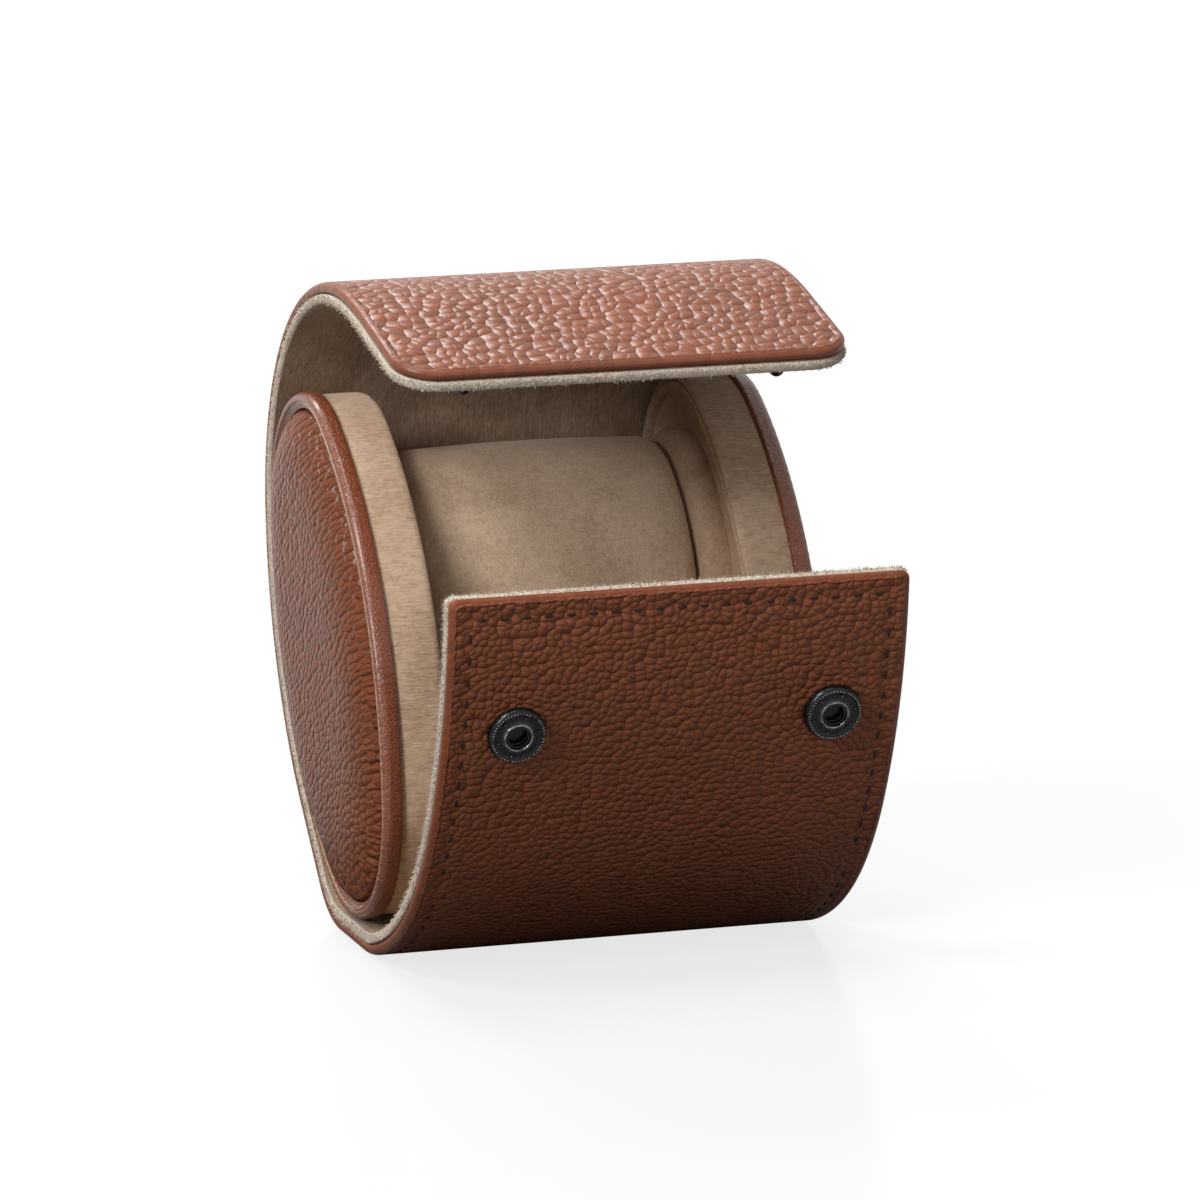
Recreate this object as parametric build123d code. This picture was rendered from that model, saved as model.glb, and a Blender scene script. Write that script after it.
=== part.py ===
from build123d import *
from collections import namedtuple
import cmath
import math
import os

# A leather watch roll, standing open: a curled wrap of leather, board and suede lining, two oval
# padded end caps glued into its back, and a soft oval cushion held between the caps.
# X runs along the cushion, -Y is the open front, +Z is up. The origin is the middle of the flat
# stretch that the roll stands on. Lengths are in millimetres and angles in degrees.
# The side view (Y across, Z up) is drawn with complex numbers, y + z j.

# Wrap, from the outside in
wrap_width = 86.0
leather_thickness = 1.3
board_thickness = 0.9
lining_thickness = 1.9
leather_margin = 0.6
board_margin = 1.2
flap_corner_radius = 8.4
panel_corner_radius = 1.6

# Side profile of the wrap: what it stands on, then the curls of its two ends
flat_front_y = -9.0
toe_turn = 15.8
toe_radius = 25.0
lower_turn = 34.0
lower_radius = 59.0
panel_low_turn = 12.0
panel_low_radius = 65.0
panel_top_turn = 24.9
panel_top_radius = 111.0
heel_turn = 45.0
heel_radius = 8.9
back_rise_turn = 88.0
shoulder_radius = 46.8
shoulder_turn = 14.0
crown_turn = 32.0
flap_root_turn = 20.4
flap_middle_turn = 31.8
flap_middle_radius = 52.0
flap_end_turn = 7.9
flap_end_radius = 87.0

# End caps
cap_length = 100.4
cap_width = 62.0
cap_end_radius = 24.0
cap_lean_turn = 31.6
cap_centre_y = 13.5
cap_floor_gap = 0.6
cap_gap = 0.2
cap_edge_setback = 0.2
cap_depth = 13.0
rim_depth = 3.5
rim_width = 4.6
rim_roll = 1.9
rim_skin = 1.1
groove_width = 0.3
panel_shoulder_setback = 1.2
panel_crown = 4.4
panel_reach = 16.0
panel_skin = 1.2
end_board_thickness = 1.8
hoop_inset = 0.9
suede_thickness = 0.8
hoop_thickness = 1.2
lip_width = 2.6
lip_height = 3.0
lip_round = 1.1
face_recess = 2.0
face_board_thickness = 1.4

# Cushion and the bosses that it sits between
cushion_height = 56.0
cushion_depth = 42.0
cushion_end_radius = 19.0
cushion_up = 11.5
cushion_back = 3.0
cushion_crown = 0.8
cushion_round = 3.6
cushion_wall = 9.0
end_disc_inset = 6.0
end_disc_thickness = 0.6
boss_gap = 0.3
boss_height = 5.3
boss_grow = 0.8
boss_round = 3.0

# Hinge lines, where the leather bends between stiff leaves
bend_slit = 0.4
bend_spare_turn = 1.0
lower_close_turn = 22.0
lower_open_turn = 10.0
panel_close_turn = 26.0
crown_close_turn = 15.0
crown_open_turn = 30.0

# Snap fasteners
snap_from_side = 13.5
snap_below_edge = 26.0
snap_from_tip = 5.2
socket_radius = 5.4
socket_height = 2.0
socket_bead = 0.7
socket_hole_radius = 2.4
spring_wall = 0.55
spring_height = 0.5
rivet_radius = 4.8
stud_rivet_radius = 3.0
rivet_neck_radius = 1.6
ball_radius = 1.4
ball_height = 2.0
ball_drop = 1.5
stud_flange_radius = 3.4
stud_flange_thickness = 0.4
stud_neck_radius = 1.0
fit_gap = 0.1

# Stitching
stitch_length = 2.4
stitch_pitch = 4.1
stitch_width = 0.7
stitch_height = 0.35
stitch_inset = 4.0
seat_gap = 0.02

half_width = wrap_width / 2
snap_x = half_width - snap_from_side
cap_outer_x = half_width - cap_edge_setback
cap_seam_x = cap_outer_x - rim_depth
cap_inner_x = cap_outer_x - cap_depth
panel_shoulder_x = cap_outer_x - panel_shoulder_setback
wrap_thickness = leather_thickness + board_thickness + lining_thickness
bend_depth = leather_thickness / 2

Arc = namedtuple("Arc", "turn radius")
Straight = namedtuple("Straight", "length")
Path = namedtuple("Path", "start heading side runs")
Oval = namedtuple("Oval", "centre length width end_radius")


# Paths in the side view

def turn(vector, degrees):
    """The vector turned anticlockwise in the side view, which is right-handed about +X."""
    return vector * cmath.rect(1, math.radians(degrees))


def about(pivot, degrees, point):
    """The point turned about a pivot."""
    return pivot + turn(point - pivot, degrees)


def inward(heading, side):
    """Unit vector from the outer leather into the roll; side is 1 on the back path, -1 on the front."""
    return heading * 1j * side


def after(run, point, heading, side):
    """Point and heading at the end of one run of a path."""
    if isinstance(run, Straight):
        return point + heading * run.length, heading
    centre = point + inward(heading, side) * run.radius
    return about(centre, side * run.turn, point), turn(heading, side * run.turn)


def part_of(run, share):
    """The first share of a run."""
    if isinstance(run, Straight):
        return Straight(run.length * share)
    return Arc(run.turn * share, run.radius)


def run_length(run):
    """Length of a run along the outer leather."""
    return run.length if isinstance(run, Straight) else math.radians(run.turn) * run.radius


def stations(path):
    """Point and heading at the start of the path and after each of its runs."""
    found = [(path.start, path.heading)]
    for run in path.runs:
        found.append(after(run, *found[-1], path.side))
    return found


def path_length(path):
    """Length of the whole path along the outer leather."""
    return sum(run_length(run) for run in path.runs)


def station(path, distance):
    """Point and heading at a distance along the path."""
    place = (path.start, path.heading)
    for run in path.runs:
        share = min(1, distance / run_length(run))
        place = after(part_of(run, share), *place, path.side)
        distance -= run_length(run)
        if distance <= 0:
            break
    return place


def next_path(path, runs):
    """A path that goes on from the end of another."""
    return Path(*stations(path)[-1], path.side, runs)


def shortened(path, amount):
    """The path with its last run cut back by an amount."""
    last = path.runs[-1]
    return path._replace(runs=path.runs[:-1] + [part_of(last, 1 - amount / run_length(last))])


def at(point, x=0):
    """A point of the side view as a point in space."""
    return Vector(x, point.real, point.imag)


def offset_edges(path, depth):
    """The path's edges at a depth under the outer leather."""
    edges = []
    for run, (point, heading) in zip(path.runs, stations(path)):
        marks = [after(part_of(run, share), point, heading, path.side) for share in (0, 0.5, 1)]
        first, middle, last = (at(p + inward(h, path.side) * depth) for p, h in marks)
        edges.append(Line(first, last) if isinstance(run, Straight) else ThreePointArc(first, middle, last))
    return edges


def cross_line(place, side, near, far):
    """The line through the wrap's thickness at a station."""
    point, heading = place
    return Line(at(point + inward(heading, side) * near), at(point + inward(heading, side) * far))


def widened(face, reach):
    """A face in the side view, made solid from X = -reach to +reach."""
    return extrude(face, amount=reach, dir=(1, 0, 0), both=True)


def layer(paths, near, far, reach):
    """One layer of the wrap between two depths; two paths start from the same station."""
    outline = []
    for path in paths:
        outline += offset_edges(path, near) + offset_edges(path, far)
        outline.append(cross_line(stations(path)[-1], path.side, near, far))
    if len(paths) == 1:
        outline.append(cross_line(stations(paths[0])[0], paths[0].side, near, far))
    return widened(make_face(outline), reach)


# Ovals, leaning back, for the caps and the cushion

up_axis = turn(1j, -cap_lean_turn)
back_axis = turn(1 + 0j, -cap_lean_turn)


def side_radius(oval):
    """Radius of the oval's two long arcs, which meet its end arcs in a common tangent."""
    reach = oval.length / 2 - oval.end_radius
    rise = oval.width / 2 - oval.end_radius
    return (reach ** 2 - rise ** 2) / (2 * rise) + oval.width / 2


def oval_face(oval, x, inset=0):
    """The oval's face at X = x, moved in by an inset: four tangent arcs."""
    reach = oval.length / 2 - oval.end_radius
    long_radius = side_radius(oval)
    drop = long_radius - oval.width / 2
    tangent = complex(reach, drop) / math.hypot(reach, drop)
    corner = reach + tangent * (oval.end_radius - inset)
    end = oval.length / 2 - inset
    side = (oval.width / 2 - inset) * 1j

    def spot(local):
        return at(oval.centre + local.real * up_axis + local.imag * back_axis, x)

    edges = [
        ThreePointArc(spot(corner), spot(complex(end)), spot(corner.conjugate())),
        ThreePointArc(spot(corner.conjugate()), spot(-side), spot(-corner)),
        ThreePointArc(spot(-corner), spot(complex(-end)), spot(-corner.conjugate())),
        ThreePointArc(spot(-corner.conjugate()), spot(side), spot(corner)),
    ]
    return make_face(edges)


def slab(oval, inset, x_from, x_to):
    """A flat oval plate between two X planes."""
    return extrude(oval_face(oval, x_from, inset), amount=x_to - x_from, dir=(1, 0, 0))


def hoop(oval, outer_inset, inner_inset, x_from, x_to):
    """An oval ring between two insets and two X planes."""
    return slab(oval, outer_inset, x_from, x_to) - slab(oval, inner_inset, x_from, x_to)


def rounded_at(solid, x, radius):
    """The solid with all of its edges in the plane X = x rounded."""
    edges = solid.edges().filter_by_position(Axis.X, x - seat_gap, x + seat_gap)
    return fillet(edges, radius)


def dome(oval, inset, base_x, shoulder_x, crown, reach, steps=5):
    """A padded plate: straight sides up to the shoulder, then an elliptical swell of the given crown."""
    sections = []
    for step in range(steps + 1):
        angle = math.pi / 2 * step / steps
        x = shoulder_x + crown * math.sin(angle)
        sections.append(oval_face(oval, x, inset + reach * (1 - math.cos(angle))))
    return slab(oval, inset, base_x, shoulder_x) + loft(sections, ruled=True)


def soft_prism(oval, half_length, swell, round_radius, inset):
    """A soft oval bar: it swells towards the middle and its two ends are rounded over."""
    sections = []
    flat = half_length - round_radius
    turns = [90, 60, 30, 0]
    ends = [(flat + round_radius * math.sin(math.radians(a)),
             round_radius * (1 - math.cos(math.radians(a)))) for a in turns]
    places = ends + [(flat * share, 0) for share in (0.5, 0, -0.5)] + [(-x, r) for x, r in reversed(ends)]
    for x, rounding in places:
        sections.append(oval_face(oval, x, inset + rounding + swell * (x / half_length) ** 2))
    return loft(sections, ruled=True)


# The wrap's paths. The front path starts at the front end of the flat stretch and curls up; the back
# path starts at the same point, runs under the roll and hugs the caps up to the shoulder.

cap_half_height = cap_end_radius + (cap_length / 2 - cap_end_radius) * up_axis.imag
cap_centre = complex(cap_centre_y, wrap_thickness + cap_floor_gap + cap_half_height)
cap_oval = Oval(cap_centre, cap_length, cap_width, cap_end_radius)
hug_radius = side_radius(cap_oval) + cap_gap + wrap_thickness
hug_centre = cap_centre - back_axis * (side_radius(cap_oval) - cap_width / 2)
hug_start = hug_centre + turn(-1j, heel_turn) * hug_radius
heel_foot = hug_start.real - hug_start.imag / math.tan(math.radians(heel_turn))
heel_run = heel_radius * math.tan(math.radians(heel_turn / 2))
heel_straight = abs(hug_start - heel_foot) - heel_run
flat_front = complex(flat_front_y)
flat_length = heel_foot - heel_run - flat_front_y

toe_path = Path(flat_front, -1 + 0j, -1, [Arc(toe_turn, toe_radius)])
lower_path = next_path(toe_path, [Arc(lower_turn, lower_radius)])
panel_path = next_path(lower_path, [Arc(panel_low_turn, panel_low_radius), Arc(panel_top_turn, panel_top_radius)])
back_path = Path(flat_front, 1 + 0j, 1, [
    Straight(flat_length),
    Arc(heel_turn, heel_radius),
    Straight(heel_straight),
    Arc(back_rise_turn - heel_turn, hug_radius),
    Arc(shoulder_turn, shoulder_radius),
])
crown_path = next_path(back_path, [Arc(crown_turn, shoulder_radius)])
flap_curls = [
    Arc(flap_root_turn, shoulder_radius),
    Arc(flap_middle_turn, flap_middle_radius),
    Arc(flap_end_turn, flap_end_radius),
]
flap_curve = next_path(crown_path, flap_curls)


# Hinge lines: each leaf turns about a line in the middle of its leather

def pivot(path):
    """The hinge line at the start of a leaf."""
    return path.start + inward(path.heading, path.side) * bend_depth


lower_pivot = pivot(lower_path)
panel_pivot = pivot(panel_path)
crown_pivot = pivot(crown_path)
flap_pivot = pivot(flap_curve)
panel_open_turn = lower_open_turn * panel_close_turn / lower_close_turn


def to_closed_panel(point):
    """A point of the front panel, carried to where it lies when the front is closed."""
    return about(lower_pivot, -lower_close_turn, about(panel_pivot, -panel_close_turn, point))


# The flap's stud meets the panel's socket when both ends are closed. Its ball then sits in the socket's
# hole, on the socket's own axis, and at ball_drop from the flap's lining. That sets how far the flap
# turns, and its straight end is as long as it takes to reach past the stud.

socket_place = station(panel_path, path_length(panel_path) - snap_below_edge)
socket_outward = -inward(socket_place[1], panel_path.side)
closed_ball = to_closed_panel(socket_place[0] + socket_outward * ball_height)
ball_at_crown = about(crown_pivot, -crown_close_turn, closed_ball)

curve_end, tip_heading = stations(flap_curve)[-1]
tip_inward = inward(tip_heading, flap_curve.side)
lining_point = curve_end + tip_inward * wrap_thickness
ball_offset = ((lining_point - flap_pivot) * tip_inward.conjugate()).real + ball_drop
ball_arm = ball_at_crown - flap_pivot
flap_close_turn = math.degrees(cmath.phase(ball_arm / tip_inward) + math.acos(ball_offset / abs(ball_arm)))
flap_open_turn = crown_open_turn * flap_close_turn / crown_close_turn

ball_centre = about(flap_pivot, -flap_close_turn, ball_at_crown)
stud_foot = ball_centre - tip_inward * ball_drop
flap_straight = ((ball_centre - curve_end) * tip_heading.conjugate()).real + snap_from_tip
flap_path = next_path(crown_path, flap_curls + [Straight(flap_straight)])


def bend_slot(path, closing, opening):
    """The clearance at a hinge line: a slit that widens inward for closing and outward for opening."""
    centre = pivot(path)
    along = path.heading
    across = inward(path.heading, path.side)
    inner = wrap_thickness
    outer = leather_thickness
    inner_half = bend_slit / 2 + inner * math.tan(math.radians(closing / 2 + bend_spare_turn))
    outer_half = bend_slit / 2 + outer * math.tan(math.radians(opening / 2 + bend_spare_turn))
    corners = []
    for sign in (-1, 1):
        trio = [
            centre + along * sign * inner_half + across * inner,
            centre + along * sign * bend_slit / 2,
            centre + along * sign * outer_half - across * outer,
        ]
        corners += trio if sign < 0 else trio[::-1]
    return widened(make_face(Polyline(*[at(c) for c in corners], close=True)), wrap_width)


lower_slot = bend_slot(lower_path, lower_close_turn, lower_open_turn)
panel_slot = bend_slot(panel_path, panel_close_turn, panel_open_turn)
crown_slot = bend_slot(crown_path, crown_close_turn, crown_open_turn)
flap_slot = bend_slot(flap_path, flap_close_turn, flap_open_turn)

leaves = {
    "back": ([toe_path, back_path], [lower_slot, crown_slot], None),
    "front_lower": ([lower_path], [lower_slot, panel_slot], None),
    "front_panel": ([panel_path], [panel_slot], panel_corner_radius),
    "crown": ([crown_path], [crown_slot, flap_slot], None),
    "flap": ([flap_path], [flap_slot], flap_corner_radius),
}


# Snaps: sockets on the front panel and ball studs under the flap

def snap_axis(place, side, x):
    """A plane on the outer leather whose normal points out of the roll."""
    point, heading = place
    outward = -inward(heading, side)
    return Plane(origin=at(point, x), x_dir=(1, 0, 0), z_dir=at(outward))


def socket_plane_at(x):
    """The plane that a socket stands on, on the front panel's leather."""
    return snap_axis(socket_place, panel_path.side, x)


def stud_plane_at(x):
    """The plane that a stud stands on, on the flap's lining, with its normal into the roll."""
    return Plane(origin=at(stud_foot, x), x_dir=(1, 0, 0), z_dir=at(tip_inward))


def both_snaps(make, plane_at):
    """A snap piece at each of the two snap places."""
    return [plane_at(x) * make() for x in (-snap_x, snap_x)]


def disc(radius, low, high):
    """A round disc on the local Z axis between two heights."""
    return Pos(0, 0, (low + high) / 2) * Cylinder(radius, high - low)


def snap_socket():
    """The socket's ring, with a beaded rim, standing on the leather."""
    body = fillet(disc(socket_radius, 0, socket_height).edges().group_by(Axis.Z)[-1], socket_bead)
    return body - disc(socket_hole_radius, 0, socket_height)


def snap_spring():
    """The thin ring in the socket's hole that grips the ball."""
    middle = socket_height - spring_height
    ring = disc(socket_hole_radius - fit_gap / 2, middle - spring_height, middle)
    return ring - disc(socket_hole_radius - spring_wall, middle - spring_height, middle)


def socket_rivet(grow=0):
    """The rivet that clamps the socket: a head in the board layer and a neck through the leather."""
    head_top = -leather_thickness - seat_gap + grow
    head = disc(rivet_radius + grow, -leather_thickness - board_thickness, head_top)
    return head + disc(rivet_neck_radius + grow, head_top, grow)


def snap_stud():
    """The ball stud: a flange on the lining, a neck and a ball."""
    flange = disc(stud_flange_radius, 0, stud_flange_thickness)
    neck = disc(stud_neck_radius, stud_flange_thickness, ball_drop)
    return flange + neck + Pos(0, 0, ball_drop) * Sphere(ball_radius)


def stud_rivet(grow=0):
    """The stud's rivet: a head in the flap's board layer and a neck through the lining."""
    head_top = -lining_thickness - seat_gap + grow
    head = disc(stud_rivet_radius + grow, -lining_thickness - board_thickness, head_top)
    return head + disc(rivet_neck_radius + grow, head_top, grow)


snap_holes = {
    "front_panel": both_snaps(lambda: socket_rivet(fit_gap), socket_plane_at),
    "flap": both_snaps(lambda: stud_rivet(fit_gap), stud_plane_at),
}


# Leaves of the wrap

def round_tip(solid, place, reach, radius):
    """The leaf's layer with its two free corners rounded."""
    corners = [solid.edges().sort_by_distance(at(place, side * reach))[0] for side in (-1, 1)]
    return fillet(corners, radius)


def leaf_layer(name, near, far, margin):
    """One layer of one leaf, cut back by a margin from the lining's edge."""
    paths, slots, corner_radius = leaves[name]
    reach = half_width - margin
    if corner_radius:
        paths = [shortened(paths[0], margin) if margin else paths[0]]
    solid = layer(paths, near, far, reach)
    if corner_radius:
        end, heading = stations(paths[0])[-1]
        middle = end + inward(heading, paths[0].side) * (near + far) / 2
        solid = round_tip(solid, middle, reach, max(corner_radius - margin, fit_gap))
    for slot in slots:
        solid -= slot
    for hole in snap_holes.get(name, []):
        solid -= hole
    return solid


def stitch_row(path, x_values, distances):
    """Stitches along the path at each X and distance; each lies flat on the leather."""
    stitches = []
    for distance in distances:
        plane = snap_axis(station(path, distance), path.side, 0)
        for x in x_values:
            stitch = Box(stitch_width, stitch_length, stitch_height)
            stitches.append(plane * Pos(x, 0, seat_gap + stitch_height / 2) * stitch)
    return stitches


def side_stitches(path, clear_start, clear_end):
    """The two rows of stitches along a leaf's side edges."""
    edge = half_width - stitch_inset
    room = path_length(path) - clear_start - clear_end
    count = int(room / stitch_pitch)
    start = clear_start + (room - count * stitch_pitch) / 2
    return stitch_row(path, (-edge, edge), [start + stitch_pitch * i for i in range(count + 1)])


def top_stitches(path):
    """The row of stitches along a leaf's free edge."""
    plane = snap_axis(station(path, path_length(path) - stitch_inset), path.side, 0)
    room = wrap_width - 2 * stitch_inset - stitch_pitch
    count = int(room / stitch_pitch)
    stitches = []
    for i in range(count + 1):
        x = (i - count / 2) * stitch_pitch
        stitch = Box(stitch_length, stitch_width, stitch_height)
        stitches.append(plane * Pos(x, 0, seat_gap + stitch_height / 2) * stitch)
    return stitches


def stitching(name):
    """A leaf's stitches."""
    path = leaves[name][0][0]
    if name == "front_lower":
        return side_stitches(path, stitch_pitch, stitch_pitch)
    return side_stitches(path, stitch_pitch, stitch_inset + stitch_pitch / 2) + top_stitches(path)


# End caps, modelled on the right and mirrored to the left

def cap_rim():
    """The rolled leather rim: a skin over the cord, from the side seam round to the panel's groove."""
    ring = hoop(cap_oval, 0, rim_width, cap_seam_x, cap_outer_x)
    ring = rounded_at(ring, cap_outer_x, rim_roll)
    return ring - cap_cord_room(0)


def cap_cord_room(gap):
    """The space inside the rim that the cord fills, less a gap."""
    ring = hoop(cap_oval, rim_skin + gap, rim_width - rim_skin - gap, cap_seam_x, cap_outer_x - rim_skin - gap)
    return rounded_at(ring, cap_outer_x - rim_skin - gap, rim_roll - rim_skin)


def cap_panel():
    """The grained leather over the outer padding."""
    inset = rim_width + groove_width
    skin = dome(cap_oval, inset, cap_seam_x, panel_shoulder_x, panel_crown, panel_reach)
    return skin - cap_padding(0)


def cap_padding(gap=fit_gap):
    """The foam that swells the outer panel."""
    inset = rim_width + groove_width + panel_skin + gap
    shoulder = panel_shoulder_x - panel_skin / 2
    return dome(cap_oval, inset, cap_seam_x, shoulder, panel_crown - panel_skin / 2 - gap,
                panel_reach - panel_skin)


plate_inset = hoop_inset + suede_thickness + hoop_thickness


def cap_end_board():
    """The stiff oval plate, let into the hoop, that the rim and the padding are built on."""
    return slab(cap_oval, plate_inset, cap_seam_x - end_board_thickness, cap_seam_x)


def cap_gusset():
    """The suede band round the cap's side."""
    return hoop(cap_oval, hoop_inset, hoop_inset + suede_thickness, cap_inner_x + lip_width, cap_seam_x)


def cap_hoop():
    """The card hoop that stiffens the suede band."""
    inset = hoop_inset + suede_thickness
    return hoop(cap_oval, inset, plate_inset, cap_inner_x + lip_width, cap_seam_x)


def cap_lip():
    """The padded suede roll round the cap's inner edge."""
    ring = hoop(cap_oval, hoop_inset / 2, hoop_inset / 2 + lip_height, cap_inner_x, cap_inner_x + lip_width)
    return rounded_at(ring, cap_inner_x, lip_round)


face_inset = hoop_inset / 2 + lip_height
face_x = cap_inner_x + face_recess


def cap_face():
    """The suede sheet that lines the cap's dished inner face."""
    return slab(cap_oval, face_inset, face_x, face_x + suede_thickness)


def cap_face_board():
    """The card plate behind the inner face, let into the hoop; the cap is hollow behind it."""
    start = face_x + suede_thickness
    return slab(cap_oval, plate_inset, start, start + face_board_thickness)


cushion_centre = cap_centre + up_axis * cushion_up + back_axis * cushion_back
cushion_oval = Oval(cushion_centre, cushion_height, cushion_depth, cushion_end_radius)
boss_tip_x = face_x - boss_height
cushion_length = 2 * (boss_tip_x - boss_gap)
boss_oval = Oval(cushion_centre, cushion_height + 2 * boss_grow, cushion_depth + 2 * boss_grow,
                 cushion_end_radius + boss_grow)


def boss_cover():
    """The suede over the boss that faces the cushion's end."""
    return rounded_at(slab(boss_oval, 0, boss_tip_x, face_x), boss_tip_x, boss_round) - boss_foam(0)


def boss_foam(gap=fit_gap):
    """The foam inside the boss."""
    start = boss_tip_x + suede_thickness + gap
    block = slab(boss_oval, suede_thickness + gap, start, face_x)
    return rounded_at(block, start, boss_round - suede_thickness)


# Cushion

def cushion_space(gap):
    """The room inside the cushion's cover, less a gap."""
    half = cushion_length / 2 - end_disc_thickness - suede_thickness - gap
    return soft_prism(cushion_oval, half, cushion_crown, cushion_round - suede_thickness, suede_thickness + gap)


def cushion_foam():
    """The cushion's foam sleeve, hollow so that it gives when a strap is put round it."""
    return cushion_space(fit_gap) - slab(cushion_oval, cushion_wall, -cushion_length, cushion_length)


def cushion_cover():
    """The suede tube round the cushion, gathered over its rounded ends, with a recess for each disc."""
    cover = soft_prism(cushion_oval, cushion_length / 2, cushion_crown, cushion_round, 0)
    cover -= cushion_space(0)
    for disc_solid in cushion_end_discs(fit_gap):
        cover -= disc_solid
    return cover


def cushion_end_discs(gap=0):
    """The oval suede disc at each end of the cushion."""
    outer = cushion_length / 2
    inset = end_disc_inset - gap
    return [slab(cushion_oval, inset, side * (outer - end_disc_thickness - gap), side * outer)
            for side in (-1, 1)]


nodes = {}

leather_depth = leather_thickness
board_depth = leather_thickness + board_thickness
for leaf in leaves:
    nodes[leaf + "_leather"] = leaf_layer(leaf, 0, leather_depth, leather_margin)
    nodes[leaf + "_board"] = leaf_layer(leaf, leather_depth, board_depth, board_margin)
    nodes[leaf + "_lining"] = leaf_layer(leaf, board_depth, wrap_thickness, 0)
for leaf in ("front_lower", "front_panel"):
    nodes[leaf + "_stitching"] = Compound(children=stitching(leaf))

nodes["panel_snap_sockets"] = Compound(children=both_snaps(snap_socket, socket_plane_at))
nodes["panel_snap_springs"] = Compound(children=both_snaps(snap_spring, socket_plane_at))
nodes["panel_snap_rivets"] = Compound(children=both_snaps(socket_rivet, socket_plane_at))
nodes["flap_snap_studs"] = Compound(children=both_snaps(snap_stud, stud_plane_at))
nodes["flap_snap_rivets"] = Compound(children=both_snaps(stud_rivet, stud_plane_at))

cap_pieces = {
    "panel_leather": cap_panel(),
    "panel_padding": cap_padding(),
    "rim_leather": cap_rim(),
    "rim_cord": cap_cord_room(fit_gap),
    "end_board": cap_end_board(),
    "gusset_suede": cap_gusset(),
    "gusset_hoop": cap_hoop(),
    "inner_lip": cap_lip(),
    "face_lining": cap_face(),
    "face_board": cap_face_board(),
    "boss_cover": boss_cover(),
    "boss_foam": boss_foam(),
}
for piece, solid in cap_pieces.items():
    nodes["right_cap_" + piece] = solid
    nodes["left_cap_" + piece] = mirror(solid, about=Plane.YZ)

nodes["cushion_foam"] = cushion_foam()
nodes["cushion_cover"] = cushion_cover()
nodes["cushion_end_discs"] = Compound(children=cushion_end_discs())

os.makedirs("parts", exist_ok=True)
for name, shape in nodes.items():
    export_step(shape, "parts/" + name + ".step")

for name, line in (("lower", lower_pivot), ("panel", panel_pivot), ("crown", crown_pivot), ("flap", flap_pivot)):
    print(name, "hinge line at y, z:", round(line.real, 4), round(line.imag, 4))
print("flap closes by", round(flap_close_turn, 4), "and opens by", round(flap_open_turn, 4))
print("flat from y", flat_front_y, "to", round(flat_front_y + flat_length, 3), "flap straight", round(flap_straight, 2))
print("cushion centre at y, z:", round(cushion_centre.real, 3), round(cushion_centre.imag, 3))
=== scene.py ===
import math
import bmesh
import bpy
import numpy as np
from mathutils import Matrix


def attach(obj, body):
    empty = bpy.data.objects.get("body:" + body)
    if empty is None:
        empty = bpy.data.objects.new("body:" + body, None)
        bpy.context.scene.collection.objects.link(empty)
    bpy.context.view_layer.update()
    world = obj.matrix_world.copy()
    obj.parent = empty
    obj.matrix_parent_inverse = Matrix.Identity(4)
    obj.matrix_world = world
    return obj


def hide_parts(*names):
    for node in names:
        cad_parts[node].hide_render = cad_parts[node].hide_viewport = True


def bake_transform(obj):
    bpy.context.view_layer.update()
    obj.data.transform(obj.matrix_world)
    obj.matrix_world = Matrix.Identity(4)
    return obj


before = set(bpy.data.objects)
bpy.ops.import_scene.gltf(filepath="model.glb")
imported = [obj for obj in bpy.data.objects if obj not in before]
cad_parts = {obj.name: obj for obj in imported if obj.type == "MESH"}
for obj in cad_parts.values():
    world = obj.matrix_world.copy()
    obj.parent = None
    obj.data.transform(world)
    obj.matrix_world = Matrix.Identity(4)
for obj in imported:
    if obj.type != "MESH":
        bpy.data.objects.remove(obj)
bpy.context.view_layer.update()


# The studio: a camera a little above the roll and to its left, a white floor that runs out of sight, and
# soft boxes overhead, high behind, to the left and in front. The floor is white to the camera and in
# reflections, except close round the roll, where reflections see it painted dark as shade under the roll;
# it is grey to the light that it bounces back, so that the underside of the roll stays dark.

camera_turn = math.radians(-18.0)
camera_rise = math.radians(12.0)
camera_distance = 1.45
camera_target = np.array([0.0, -0.018, 0.0648])
camera_lens = 239.25
camera_sensor = 36.0


def add_object(name, data):
    """Puts an object with this data in the scene."""
    made = bpy.data.objects.new(name, data)
    bpy.context.scene.collection.objects.link(made)
    return made


backwards = np.array([math.sin(camera_turn) * math.cos(camera_rise),
                      -math.cos(camera_turn) * math.cos(camera_rise),
                      math.sin(camera_rise)])
camera = add_object("camera", bpy.data.cameras.new("camera"))
camera.data.lens = camera_lens
camera.data.sensor_width = camera_sensor
camera.location = camera_target + backwards * camera_distance
camera.rotation_euler = (math.pi / 2 - camera_rise, 0.0, camera_turn)
bpy.context.scene.camera = camera
bpy.context.scene.view_settings.view_transform = "Standard"

roll_middle = np.array([0.0, 0.0, 0.06])


def soft_box(name, place, size, level):
    """An area lamp that lights a white card in the middle of the roll to about the given level."""
    lamp = bpy.data.lights.new(name, "AREA")
    lamp.shape = "RECTANGLE"
    lamp.size, lamp.size_y = size
    away = roll_middle - np.array(place)
    reach = np.linalg.norm(away)
    lamp.energy = level * (math.pi * reach) ** 2
    box = add_object(name, lamp)
    flat_reach = math.hypot(away[0], away[1])
    box.rotation_euler = (math.atan2(flat_reach, -away[2]), 0.0, math.atan2(away[1], away[0]) - math.pi / 2)
    box.location = place


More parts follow.
